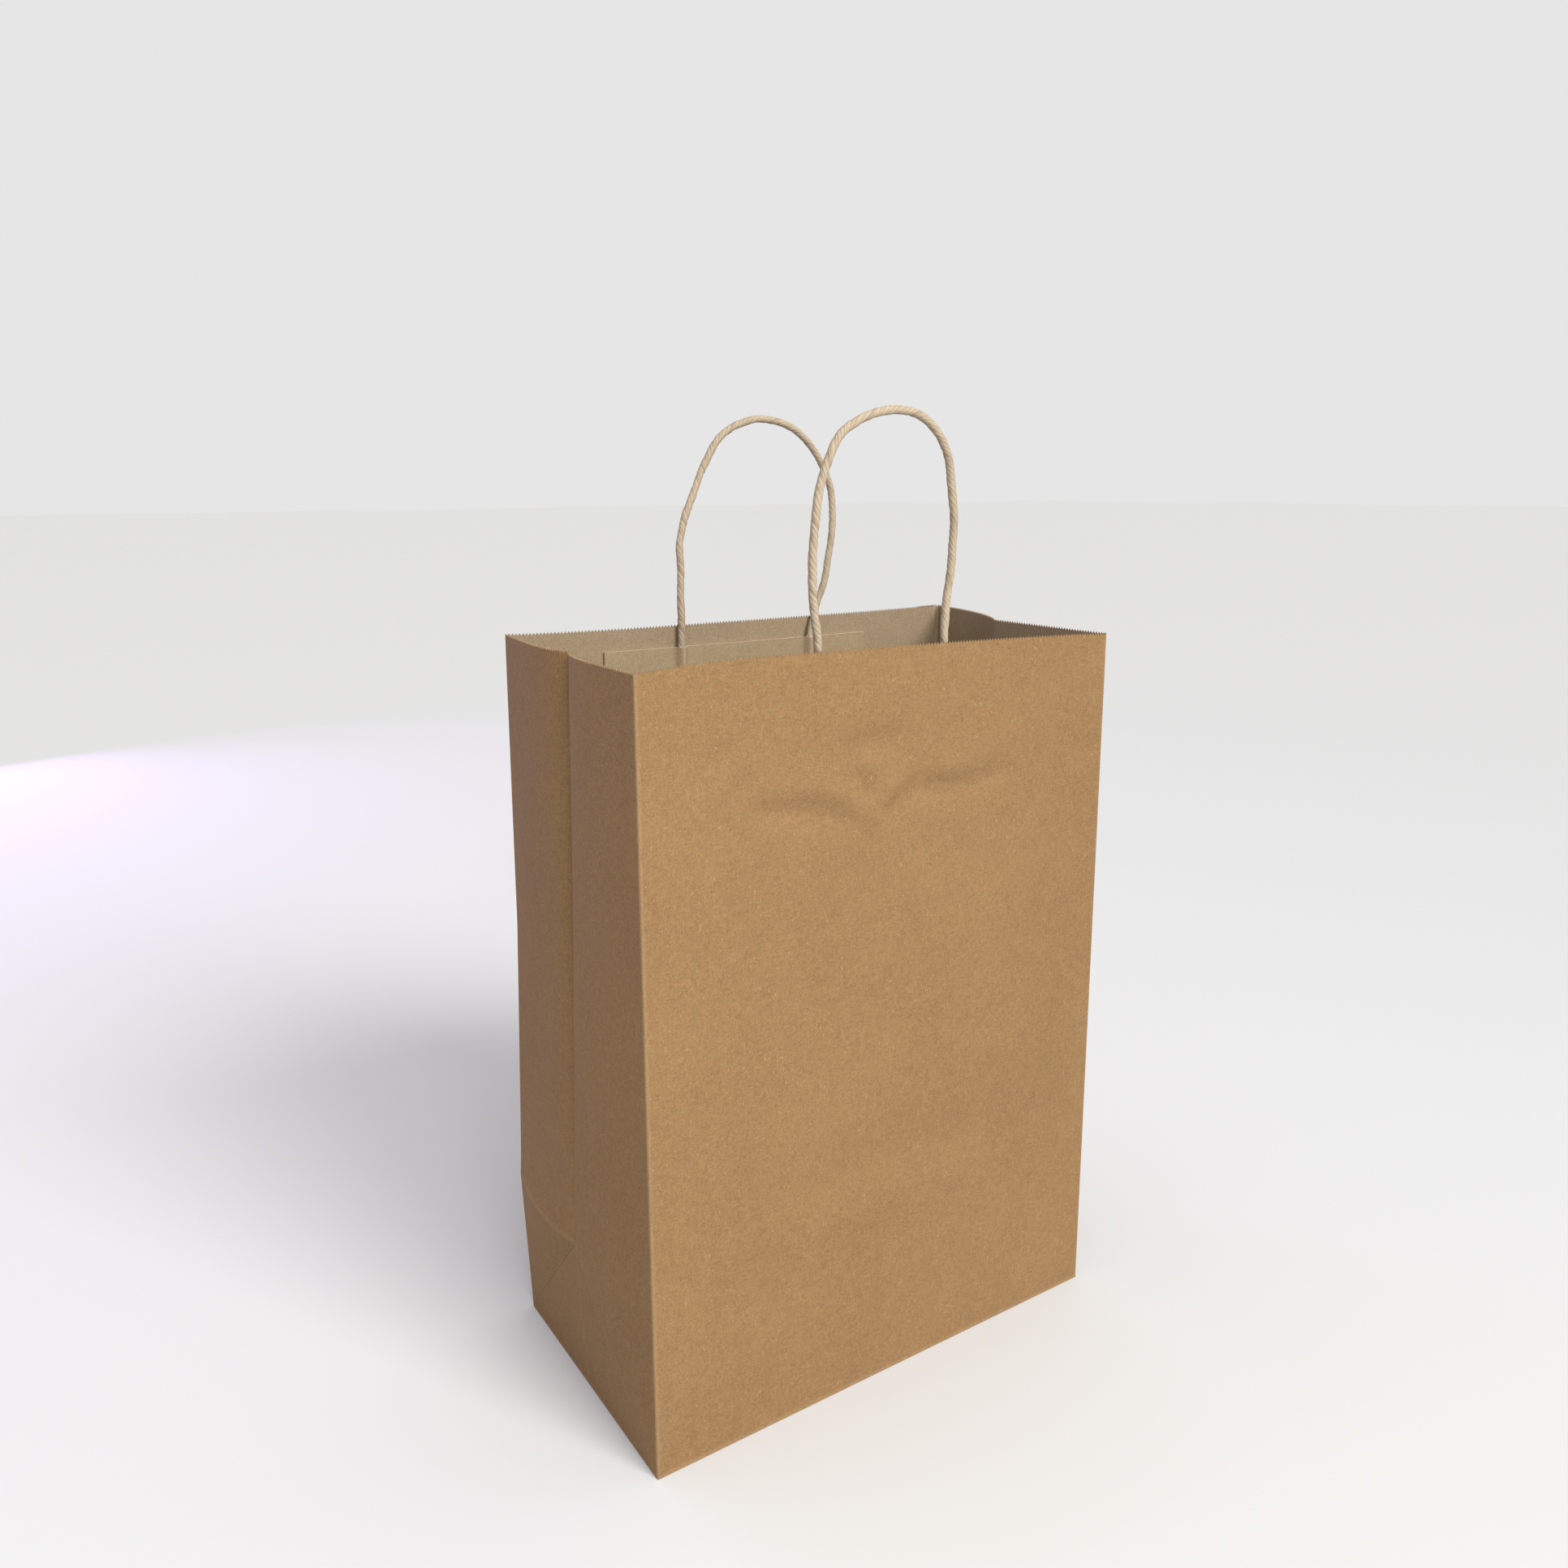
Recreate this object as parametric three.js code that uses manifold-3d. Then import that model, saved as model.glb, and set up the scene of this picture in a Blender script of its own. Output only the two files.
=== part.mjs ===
// Kraft paper gift bag with a square block bottom, side gussets and two twisted paper cord handles.
// Frame: millimetres, +Z up, origin at the middle of the underside, front panel facing -Y.
// The paper tube is split at its creases, so that each flat field between creases is a sheet of its own
// that can turn about the crease when the bag is folded flat.
import * as THREE from "three";
import { mergeVertices } from "three/addons/utils/BufferGeometryUtils.js";
import Module from "manifold-3d";

const wasm = await Module();
wasm.setup();

// Driving dimensions
const WIDTH = 250; // across the front panel
const DEPTH = 144; // front face to the outside of the glued seam at the back
const HEIGHT = 336; // floor to mouth
const SHEET = 0.4; // model thickness of one layer of paper
const GAP = 0.3; // air between layers that are glued or creased together
const CORD_RADIUS = 1.75;
const CORD_SIDES = 10;
const CORD_STEP = 9; // one tube section for every two or three diameters
const SEAM_WIDTH = 14; // glue lap that closes the paper tube
const BOTTOM_LAP = 12; // each bottom flap reaches this far past the middle
const PATCH_WIDTH = 150;
const PATCH_HEIGHT = 45;
const PATCH_BELOW_MOUTH = 10.7;
const HINGE_ABOVE_MOUTH = 4; // where a handle bends, just above the paper's edge

// Places worked out from the driving dimensions
const HALF_WIDTH = WIDTH / 2;
const FRONT_OUTSIDE = -DEPTH / 2;
const FRONT_INSIDE = FRONT_OUTSIDE + SHEET;
const SEAM_OUTSIDE = DEPTH / 2;
const BACK_OUTSIDE = SEAM_OUTSIDE - SHEET - GAP;
const BACK_INSIDE = BACK_OUTSIDE - SHEET;
const GUSSET_FRONT_EDGE = FRONT_INSIDE + GAP;
const GUSSET_BACK_EDGE = BACK_INSIDE - GAP;
const GUSSET_FRONT_HINGE = GUSSET_FRONT_EDGE + SHEET;
const GUSSET_BACK_HINGE = GUSSET_BACK_EDGE - SHEET;
const CENTRE_CREASE = (GUSSET_FRONT_HINGE + GUSSET_BACK_HINGE) / 2;
const CREASE_HEIGHT = DEPTH / 2; // level crease across the back, as high as half the bottom's depth
const END_FOLD_BOTTOM = 2 * (SHEET + GAP);
const BASE_TOP = END_FOLD_BOTTOM + SHEET;
const SIDE_BOTTOM = BASE_TOP + 2 * GAP; // lowest edge of the triangles that stand on the bottom
const BACK_BOTTOM = BASE_TOP + 4 * SHEET; // lowest edge of the back: it folds down on top of the triangles
const OUTER_PATCH = GAP; // distances from a panel's inside face to the layers of a handle patch
const INNER_PATCH = OUTER_PATCH + SHEET + GAP;
const CORD_AXIS = OUTER_PATCH + SHEET + GAP + CORD_RADIUS;
const PATCH_TOP = HEIGHT - PATCH_BELOW_MOUTH;
const LEG_BOTTOM = PATCH_TOP - PATCH_HEIGHT + 4;
const LEG_TOP = HEIGHT + HINGE_ABOVE_MOUTH - 1.6 * CORD_RADIUS; // low enough for a loop that swings past level

// Each handle: the side it hangs on, the middle of its patch, where its legs run at the patch and at the
// hinge, and the loop's centre line as x and height above the mouth.
const HANDLES = [
  {
    name: "front",
    inside: FRONT_INSIDE,
    inward: 1,
    patchCentre: -1.5,
    legs: { left: [-34.8, -35], right: [31.8, 31.8] },
    loop: [
      [-35, HINGE_ABOVE_MOUTH], [-36.4, 12], [-37.8, 21], [-38.7, 30], [-38.9, 40], [-37.9, 57.5], [-34.7, 72],
      [-28.2, 83.2], [-19.9, 89.3], [-8.4, 93.4], [2.1, 94.3], [13.6, 92], [21.6, 86.4], [27.6, 77], [30.6, 66],
      [32.9, 52], [33.9, 37], [32.8, 24], [32.2, 14], [31.8, HINGE_ABOVE_MOUTH],
    ],
  },
  {
    name: "back",
    inside: BACK_INSIDE,
    inward: -1,
    patchCentre: -4.5,
    legs: { left: [-40.5, -40.5], right: [33.9, 37.2] },
    loop: [
      [-40.5, HINGE_ABOVE_MOUTH], [-40.2, 15], [-39.4, 27], [-39, 41], [-31.8, 58.5], [-20.2, 81], [-8.9, 91.8],
      [-0.6, 95.2], [8.4, 96.6], [19.9, 95.4], [30.4, 91], [39.4, 83.2], [45.9, 74], [50.2, 63.5], [50.6, 49.5],
      [48.4, 35], [44.1, 19], [40.3, 9.7], [38, HINGE_ABOVE_MOUTH],
    ],
  },
];

const paper = new THREE.MeshStandardMaterial({ color: 0xb8925f, roughness: 0.85, metalness: 0 });
const patchPaper = new THREE.MeshStandardMaterial({ color: 0xa98a62, roughness: 0.88, metalness: 0 });
const cordPaper = new THREE.MeshStandardMaterial({ color: 0xd3b58a, roughness: 0.8, metalness: 0 });

const bag = new THREE.Group();

function addMesh(name, geometry, material) {
  const mesh = new THREE.Mesh(geometry, material);
  mesh.name = name;
  bag.add(mesh);
  return mesh;
}

function outline(points) {
  return new THREE.Shape(points.map(([u, v]) => new THREE.Vector2(u, v)));
}

// A flat outline drawn along two of the bag's axes and thickened along their cross product.
function plate(name, points, alongU, alongV, origin, thickness = SHEET, material = paper) {
  const geometry = new THREE.ExtrudeGeometry(outline(points), { depth: thickness, bevelEnabled: false });
  const mesh = addMesh(name, geometry, material);
  const normal = new THREE.Vector3().crossVectors(alongU, alongV);
  mesh.quaternion.setFromRotationMatrix(new THREE.Matrix4().makeBasis(alongU, alongV, normal));
  mesh.position.set(...origin);
  return mesh;
}

const X = new THREE.Vector3(1, 0, 0);
const Y = new THREE.Vector3(0, 1, 0);
const Z = new THREE.Vector3(0, 0, 1);

function rectangle(u0, v0, u1, v1) {
  return [[u0, v0], [u1, v0], [u1, v1], [u0, v1]];
}

// Sheets that face front or back: drawn in x and z, thickened towards the front.
function crossPanel(name, x0, z0, x1, z1, rearFace, material = paper) {
  return plate(name, rectangle(x0, z0, x1, z1), X, Z, [0, rearFace, 0], SHEET, material);
}

// Sheets that face left or right: drawn in y and z, thickened towards the right.
function sidePanel(name, points, side) {
  const leftFace = side < 0 ? -HALF_WIDTH : HALF_WIDTH - SHEET;
  return plate(name, points, Y, Z, [leftFace, 0, 0]);
}

function toSolid(geometry) {
  const bare = new THREE.BufferGeometry().setAttribute("position", geometry.getAttribute("position"));
  if (geometry.index) bare.setIndex(geometry.index);
  const merged = mergeVertices(bare, 1e-4);
  return new wasm.Manifold(
    new wasm.Mesh({
      numProp: 3,
      vertProperties: merged.attributes.position.array,
      triVerts: new Uint32Array(merged.index.array),
    }),
  );
}

function toGeometry(solid) {
  const { vertProperties, triVerts } = solid.getMesh();
  return new THREE.BufferGeometry()
    .setAttribute("position", new THREE.BufferAttribute(vertProperties, 3))
    .setIndex(new THREE.BufferAttribute(triVerts, 1));
}

// Bottom: two long flaps with mitred ends, glued where they lap in the middle. Away from its crease each
// flap narrows at 45 degrees at both ends. The rear flap steps up by one layer to lie on the front one.
function bottomFlaps() {
  const reach = DEPTH / 2 + BOTTOM_LAP;
  const shortHalf = HALF_WIDTH - reach;
  plate(
    "bottom_flap_front",
    [
      [-HALF_WIDTH, FRONT_OUTSIDE],
      [HALF_WIDTH, FRONT_OUTSIDE],
      [shortHalf, BOTTOM_LAP],
      [-shortHalf, BOTTOM_LAP],
    ],
    X,
    Y,
    [0, 0, 0],
  );
  const step = BOTTOM_LAP + GAP;
  const liftedBottom = SHEET + GAP;
  const liftedTop = liftedBottom + SHEET;
  const section = outline([
    [SEAM_OUTSIDE, 0], [step, 0], [step, liftedBottom], [-BOTTOM_LAP, liftedBottom],
    [-BOTTOM_LAP, liftedTop], [step + SHEET, liftedTop], [step + SHEET, SHEET], [SEAM_OUTSIDE, SHEET],
  ]);
  const stepped = new THREE.ExtrudeGeometry(section, { depth: WIDTH, bevelEnabled: false });
  stepped.applyMatrix4(new THREE.Matrix4().makeBasis(Y, Z, X));
  stepped.translate(-HALF_WIDTH, 0, 0);
  const mitred = new THREE.ExtrudeGeometry(
    outline([
      [HALF_WIDTH, SEAM_OUTSIDE], [-HALF_WIDTH, SEAM_OUTSIDE],
      [-shortHalf, -BOTTOM_LAP], [shortHalf, -BOTTOM_LAP],
    ]),
    { depth: 4 * SHEET, bevelEnabled: false },
  );
  mitred.translate(0, 0, -SHEET);
  addMesh("bottom_flap_back", toGeometry(toSolid(stepped).intersect(toSolid(mitred))), paper);
}

// The squares that the gussets make when they are turned in, lying inside the bag on top of the flaps.
function endFolds() {
  const reach = DEPTH / 2 + BOTTOM_LAP;
  for (const [side, x0] of [["left", -HALF_WIDTH], ["right", HALF_WIDTH - reach]]) {
    const square = rectangle(x0, GUSSET_FRONT_EDGE, x0 + reach, GUSSET_BACK_EDGE);
    plate("bottom_end_fold_" + side, square, X, Y, [0, 0, END_FOLD_BOTTOM]);
  }
}

// The back has a level crease; the lap that closes the tube is glued outside it, along its right edge.
function frontAndBack() {
  crossPanel("front_panel", -HALF_WIDTH, SHEET + GAP, HALF_WIDTH, HEIGHT, FRONT_INSIDE);
  crossPanel("back_panel_upper", -HALF_WIDTH, CREASE_HEIGHT + GAP, HALF_WIDTH, HEIGHT, BACK_OUTSIDE);
  crossPanel("back_panel_lower", -HALF_WIDTH, BACK_BOTTOM, HALF_WIDTH, CREASE_HEIGHT - GAP, BACK_OUTSIDE);
  const lapStart = HALF_WIDTH - SEAM_WIDTH;
  crossPanel("seam_lap_upper", lapStart, CREASE_HEIGHT + GAP, HALF_WIDTH, HEIGHT, SEAM_OUTSIDE);
  crossPanel("seam_lap_lower", lapStart, BACK_BOTTOM, HALF_WIDTH, CREASE_HEIGHT - GAP, SEAM_OUTSIDE);
}

// Each gusset has a centre crease, a level crease from its middle to the back edge, and two slanting
// creases from that middle point down to the bottom corners.
function gusset(sideName, side) {
  const frontSlope = CREASE_HEIGHT / (CENTRE_CREASE - FRONT_OUTSIDE);
  const backSlope = CREASE_HEIGHT / (BACK_OUTSIDE - CENTRE_CREASE);
  const creaseFront = CENTRE_CREASE - GAP / 2;
  const creaseBack = CENTRE_CREASE + GAP / 2;
  sidePanel(
    `gusset_${sideName}_front`,
    [
      [GUSSET_FRONT_EDGE, SIDE_BOTTOM],
      [FRONT_OUTSIDE + (SIDE_BOTTOM - GAP) / frontSlope, SIDE_BOTTOM],
      [creaseFront, frontSlope * (creaseFront - FRONT_OUTSIDE) + GAP],
      [creaseFront, HEIGHT],
      [GUSSET_FRONT_EDGE, HEIGHT],
    ],
    side,
  );
  sidePanel(
    `gusset_${sideName}_back`,
    rectangle(creaseBack, CREASE_HEIGHT + GAP, GUSSET_BACK_EDGE, HEIGHT),
    side,
  );
  const upperEdge = CREASE_HEIGHT - GAP;
  sidePanel(
    `gusset_${sideName}_corner`,
    [
      [GUSSET_BACK_EDGE, SIDE_BOTTOM],
      [GUSSET_BACK_EDGE, upperEdge],
      [BACK_OUTSIDE - (upperEdge - GAP) / backSlope, upperEdge],
      [BACK_OUTSIDE - (SIDE_BOTTOM - GAP) / backSlope, SIDE_BOTTOM],
    ],
    side,
  );
  sidePanel(
    `gusset_${sideName}_foot`,
    [
      [FRONT_OUTSIDE + (SIDE_BOTTOM + GAP) / frontSlope, SIDE_BOTTOM],
      [BACK_OUTSIDE - (SIDE_BOTTOM + GAP) / backSlope, SIDE_BOTTOM],
      [CENTRE_CREASE, CREASE_HEIGHT - GAP],
    ],
    side,
  );
}

// A patch strip seen from above: flat against the panel, with a round-topped channel over each cord leg.
function channelledStrip(handle) {
  const depthAt = (distance) => handle.inside + handle.inward * distance;
  const x0 = handle.patchCentre - PATCH_WIDTH / 2;
  const x1 = handle.patchCentre + PATCH_WIDTH / 2;
  const legs = Object.values(handle.legs).map(([atPatch]) => atPatch);
  const under = [[x0, depthAt(INNER_PATCH)]];
  const over = [[x0, depthAt(INNER_PATCH + SHEET)]];
  const inner = CORD_RADIUS + 2 * GAP;
  const outer = inner + SHEET;
  const arcSteps = 8;
  for (const x of legs) {
    for (const [edge, radius, foot] of [[under, inner, INNER_PATCH], [over, outer, INNER_PATCH + SHEET]]) {
      edge.push([x - radius, depthAt(foot)]);
      for (let i = 0; i <= arcSteps; i++) {
        const turn = Math.PI * (1 - i / arcSteps);
        edge.push([x + radius * Math.cos(turn), depthAt(CORD_AXIS + radius * Math.sin(turn))]);
      }
      edge.push([x + radius, depthAt(foot)]);
    }
  }
  under.push([x1, depthAt(INNER_PATCH)]);
  over.push([x1, depthAt(INNER_PATCH + SHEET)]);
  return [...under, ...over.reverse()];
}

function patches(handle) {
  const bottom = PATCH_TOP - PATCH_HEIGHT;
  const x0 = handle.patchCentre - PATCH_WIDTH / 2;
  const near = handle.inside + handle.inward * OUTER_PATCH;
  const far = near + handle.inward * SHEET;
  const name = `patch_${handle.name}`;
  crossPanel(`${name}_outer`, x0, bottom, x0 + PATCH_WIDTH, PATCH_TOP, Math.max(near, far), patchPaper);
  plate(`${name}_inner`, channelledStrip(handle), X, Y, [0, 0, bottom], PATCH_HEIGHT, patchPaper);
}

// A round section carried along a smooth curve through the given points.
function cordTube(points) {
  const curve = new THREE.CatmullRomCurve3(points.map((p) => new THREE.Vector3(...p)));
  const section = new THREE.Shape();
  for (let i = 0; i < CORD_SIDES; i++) {
    const turn = (2 * Math.PI * i) / CORD_SIDES;
    section[i ? "lineTo" : "moveTo"](CORD_RADIUS * Math.cos(turn), CORD_RADIUS * Math.sin(turn));
  }
  const steps = Math.max(2, Math.ceil(curve.getLength() / CORD_STEP));
  return new THREE.ExtrudeGeometry(section, { steps, extrudePath: curve, bevelEnabled: false });
}

// A loop ends in a ball at each hinge point, so that it can turn on the leg below it.
function handleCord(handle) {
  const y = handle.inside + handle.inward * CORD_AXIS;
  for (const [side, [atPatch, atHinge]] of Object.entries(handle.legs)) {
    const points = [[atPatch, y, LEG_BOTTOM], [atPatch, y, PATCH_TOP], [atHinge, y, LEG_TOP]];
    addMesh(`handle_${handle.name}_leg_${side}`, cordTube(points), cordPaper);
  }
  const points = handle.loop.map(([x, above]) => [x, y, HEIGHT + above]);
  let solid = toSolid(cordTube(points));
  for (const end of [points[0], points[points.length - 1]]) {
    const ball = new THREE.SphereGeometry(CORD_RADIUS, CORD_SIDES, CORD_SIDES);
    solid = solid.add(toSolid(ball.translate(...end)));
  }
  addMesh(`handle_${handle.name}_loop`, toGeometry(solid), cordPaper);
}

bottomFlaps();
endFolds();
frontAndBack();
gusset("left", -1);
gusset("right", 1);
for (const handle of HANDLES) {
  patches(handle);
  handleCord(handle);
}

export default bag;
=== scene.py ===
import math

import bpy
import numpy as np
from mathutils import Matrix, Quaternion, Vector


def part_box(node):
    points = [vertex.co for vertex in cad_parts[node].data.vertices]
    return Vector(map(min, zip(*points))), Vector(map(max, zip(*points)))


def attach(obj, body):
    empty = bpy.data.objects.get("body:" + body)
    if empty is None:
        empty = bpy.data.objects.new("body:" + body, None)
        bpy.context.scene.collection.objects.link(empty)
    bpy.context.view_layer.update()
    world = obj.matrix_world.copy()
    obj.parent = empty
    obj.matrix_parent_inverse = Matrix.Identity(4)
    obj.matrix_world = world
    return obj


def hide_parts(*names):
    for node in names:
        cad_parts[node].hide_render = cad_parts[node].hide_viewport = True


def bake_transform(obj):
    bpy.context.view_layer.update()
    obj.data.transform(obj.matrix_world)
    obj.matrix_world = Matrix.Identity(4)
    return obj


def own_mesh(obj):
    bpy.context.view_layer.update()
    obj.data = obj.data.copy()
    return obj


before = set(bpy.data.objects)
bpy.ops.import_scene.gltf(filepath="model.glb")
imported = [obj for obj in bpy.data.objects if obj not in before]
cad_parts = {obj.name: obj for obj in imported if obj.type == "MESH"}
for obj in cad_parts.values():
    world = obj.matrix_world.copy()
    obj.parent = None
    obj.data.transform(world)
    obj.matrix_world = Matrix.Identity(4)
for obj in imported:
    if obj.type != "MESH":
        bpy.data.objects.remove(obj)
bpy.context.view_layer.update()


# Camera: a little over the mouth, turned to show the front and the left side.
eye = (-0.3503, -0.5055, 0.4035)
azimuth, elevation, roll = math.radians(-33.61), math.radians(12.67), math.radians(-0.2)
away = Vector((
    -math.sin(azimuth) * math.cos(elevation),
    math.cos(azimuth) * math.cos(elevation),
    -math.sin(elevation),
))
lens = bpy.data.cameras.new("view")
lens.sensor_width = 36
lens.lens = 30.92
camera = bpy.data.objects.new("view", lens)
camera.location = eye
camera.rotation_mode = "QUATERNION"
camera.rotation_quaternion = away.to_track_quat("-Z", "Y") @ Quaternion((0, 0, 1), roll)
bpy.context.scene.collection.objects.link(camera)
bpy.context.scene.camera = camera
bpy.context.scene.view_settings.view_transform = "Standard"


# Handle cords: strips of pale paper twisted into a cord 3.5 mm thick. Each is one length, glued under a
# patch at both ends and standing in a loop over the mouth, bent where the paper's edge ends.
front_low, front_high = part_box("front_panel")
back_low, back_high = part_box("back_panel_upper")
half_width = front_high.x
half_depth = -front_low.y
height = front_high.z
crease_height = half_depth
sheet = front_high.y - front_low.y
gap = 0.0003

# How far the corners of the standing bag are from a true box: rows front and back, columns left and right.
floor_shift = 0.001 * np.array([[[-3.6, -3.7, 0], [-3.1, 4.4, 0]], [[2.6, -4.7, 0], [3.1, 3.4, 0]]])
mouth_shift = 0.001 * np.array([
    [[-2.4, 0, -0.2], [-5.4, 2.4, -1.4]],
    [[6.4, -0.6, 0.8], [6.9, -5.1, 1.3]],
])
# How far the middles of the front and back bow in at the mouth, and how far they rise and drop there.
front_bow, back_bow = 0.005, 0.004
front_rise, back_drop = 0.0016, 0.0006

# Each gusset: how far the end of its level crease stands out, how far the mouth end of its centre crease is
# pulled in, how far its front and back halves bulge at the mouth, and how sharply they turn at the crease.
gusset_habit = {-1: (0.0045, 0.0060, 0.0060, 0.0062, 0.50), 1: (0.0020, 0.0145, 0.0, 0.0057, 0.8)}

# The level crease of a gusset stands out like an eave: how far, and the height over which that fades. Where
# the level crease meets the back's corners, it stands out sideways and backwards.
eave, eave_reach = 0.0050, 0.009
back_edge_out, back_edge_y = 0.0022, 0.003

# The solids of the two handles stand a little further apart than the real ones, so that they clear each
# other. This moves each visible cord, and the paper round it, sideways towards its true place: front, back.
handle_pull = (-0.0016, 0.0024)

# Creases pressed into the front round the handle patch: ends as x and z, width, and height outwards.
front_marks = [
    ((-0.074, 0.275), (-0.036, 0.271), 0.0055, -0.0020),
    ((-0.040, 0.272), (-0.018, 0.261), 0.0065, -0.0013),
    ((-0.100, 0.278), (-0.078, 0.293), 0.0065, 0.0014),
    ((-0.092, 0.297), (-0.078, 0.302), 0.0060, -0.0009),
    ((-0.082, 0.287), (-0.068, 0.284), 0.0050, -0.0009),
    ((-0.050, 0.282), (-0.022, 0.277), 0.0050, 0.0014),
    ((-0.024, 0.277), (-0.002, 0.258), 0.0050, 0.0013),
    ((-0.028, 0.294), (0.008, 0.298), 0.0060, -0.0017),
    ((-0.020, 0.288), (-0.004, 0.289), 0.0035, 0.0008),
    ((-0.022, 0.285), (-0.008, 0.274), 0.0050, -0.0012),
    ((-0.006, 0.271), (0.012, 0.286), 0.0045, 0.0014),
    ((0.008, 0.276), (0.044, 0.270), 0.0060, -0.0018),
    ((0.036, 0.271), (0.070, 0.278), 0.0050, -0.0016),
    ((-0.006, 0.263), (0.012, 0.273), 0.0045, -0.0013),
    ((0.022, 0.281), (0.048, 0.283), 0.0050, 0.0010),
    ((0.016, 0.260), (0.052, 0.258), 0.0080, 0.0009),
    ((-0.0364, 0.336), (-0.0364, 0.272), 0.0026, 0.0006),
    ((0.0302, 0.336), (0.0302, 0.280), 0.0026, 0.0006),
    ((-0.090, 0.110), (0.100, 0.104), 0.0160, -0.0014),
    ((-0.080, 0.088), (0.080, 0.092), 0.0120, 0.0010),
]


def smooth(t):
    """0 up to t = 0, 1 from t = 1, and a smooth step between."""
    t = np.clip(t, 0, 1)
    return t * t * (3 - 2 * t)


def soft_abs(t, ease=0.012):
    """The absolute value with its corner rounded over about ease."""
    return np.sqrt(t * t + ease * ease)


def ripple(a, b, seed, size):
    """A gentle unevenness: the sum of seven long sine waves that run in random directions."""
    draw = np.random.default_rng(seed)
    total = np.zeros(np.broadcast(a, b).shape)
    for _ in range(7):
        turn, phase = draw.uniform(0, 2 * np.pi, 2)
        wavelength = draw.uniform(0.045, 0.16)
        total += np.sin(2 * np.pi * (a * np.cos(turn) + b * np.sin(turn)) / wavelength + phase)
    return size * total / np.sqrt(7)


def back_bend(z):
    """The back's old level crease: 0 at the floor, 1 at the crease, and straight back to 0 higher up."""
    return np.clip(np.minimum(z / crease_height, 1 - (z - crease_height) / 0.128), 0, 1)


def gusset_relief(y, z, side):
    """How far a gusset stands out of its plane. Above its lower creases: straight lines from the centre
    crease to the edges, plus a bulge that turns up sharply beside the crease and grows towards the mouth.
    Under them: the smaller of two slopes, which gives the two slanting creases. The level crease stands out
    as an eave."""
    stands_out, pulled_in, front_bulge, back_bulge, turn = gusset_habit[side]
    v = y / half_depth
    across = np.minimum(soft_abs(v), 1)
    crease = np.where(v < 0, crease_height * (1 - across), crease_height)
    above_crease = np.clip((z - crease) / (height - crease), 0, 1)
    bulge = np.where(v < 0, front_bulge, back_bulge) * above_crease**0.45 * np.sin(np.pi * across**turn)
    up = np.clip((z - crease_height) / (height - crease_height), 0, 1)
    above = (stands_out - (stands_out + pulled_in) * up**0.8) * (1 - across)
    low = np.clip(z / crease_height, 0, 1)
    slope = (low + 1 - across - soft_abs(low - 1 + across)) / 2
    near_back = np.where(v > 0, np.clip(across - (1 - low), 0, 1), 0)
    edge = back_edge_out * near_back * np.where(z > crease_height, back_bend(z), 1)
    below = near_back / np.maximum(across, 0.02)
    level = np.where(z > crease_height, np.exp((crease_height - z) / eave_reach), below)
    ridge = eave * level * np.where(v > 0, 4 * across * (1 - across), 0)
    return np.where(z > crease_height, above, stands_out * slope) + bulge + edge + ridge


def press_marks(x, z):
    """The creases in the front: each is a soft ridge or hollow, highest on the line between its two ends."""
    total = np.zeros(np.broadcast(x, z).shape)
    for (x0, z0), (x1, z1), width, rise in front_marks:
        along_x, along_z = x1 - x0, z1 - z0
        t = np.clip(((x - x0) * along_x + (z - z0) * along_z) / (along_x**2 + along_z**2), 0, 1)
        apart = np.hypot(x - x0 - t * along_x, z - z0 - t * along_z)
        total += rise * np.exp(-((apart / width) ** 2)) * (0.25 + 0.75 * 4 * t * (1 - t))
    return total


def settle(points):
    """Moves points of the true box to where the standing bag has them. The corners' shifts are mixed in
    straight lines over the box; the middles of the front and back bow in towards the mouth; the gussets fold
    in and out; the sides ripple. Over the mouth, the shift in y fades away towards the tops of the loops."""
    x, y, z = points[..., 0], points[..., 1], points[..., 2]
    u, v, w = x / half_width, y / half_depth, np.clip(z / height, 0, 1)
    moved = np.zeros(points.shape)
    up = w[..., None]
    for row, share_v in enumerate(((1 - v) / 2, (1 + v) / 2)):
        for column, share_u in enumerate(((1 - u) / 2, (1 + u) / 2)):
            share = (share_u * share_v)[..., None]
            moved += share * (floor_shift[row, column] * (1 - up) + mouth_shift[row, column] * up)
    middle = np.clip(1 - u**4, 0, 1) * (1 - 0.35 * u)
    front, back = (1 - v) / 2, (1 + v) / 2
    moved[..., 1] += (front_bow * front - back_bow * back) * middle * w**1.5
    moved[..., 2] += (front_rise * front - back_drop * back) * middle * w**4
    near_mouth = smooth((z - 0.24) / 0.06) * np.clip(1 - (x / 0.11) ** 2, 0, 1)
    moved[..., 0] += (handle_pull[0] * front + handle_pull[1] * back) * near_mouth
    on_front = smooth((-v - 0.85) / 0.1)
    on_back = smooth((v - 0.85) / 0.1)
    on_gusset = smooth((np.abs(u) - 0.85) / 0.1)
    paper = smooth(z / 0.04) * smooth((height + 0.02 - z) / 0.02)
    inner = np.clip(1 - u**4, 0, 1) * paper
    moved[..., 1] -= on_front * inner * (ripple(x, z, 4, 0.00022) + press_marks(x, z))
    moved[..., 1] += on_back * (inner * ripple(x, z, 9, 0.0003) + back_edge_y * back_bend(z))
    moved[..., 0] += np.sign(u) * on_back * np.abs(u) ** 3 * back_edge_out * back_bend(z) * (1 - on_gusset)
    for side in (-1, 1):
        here = on_gusset * (np.sign(u) == side)
        wave = ripple(y, z, 20 + side, 0.00018) * np.clip(1 - v**4, 0, 1) * paper
        moved[..., 0] += side * here * (gusset_relief(y, z, side) + wave)
    moved[..., 1] *= 1 - 0.85 * smooth((z - height) / 0.09)
    return points + moved


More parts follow.
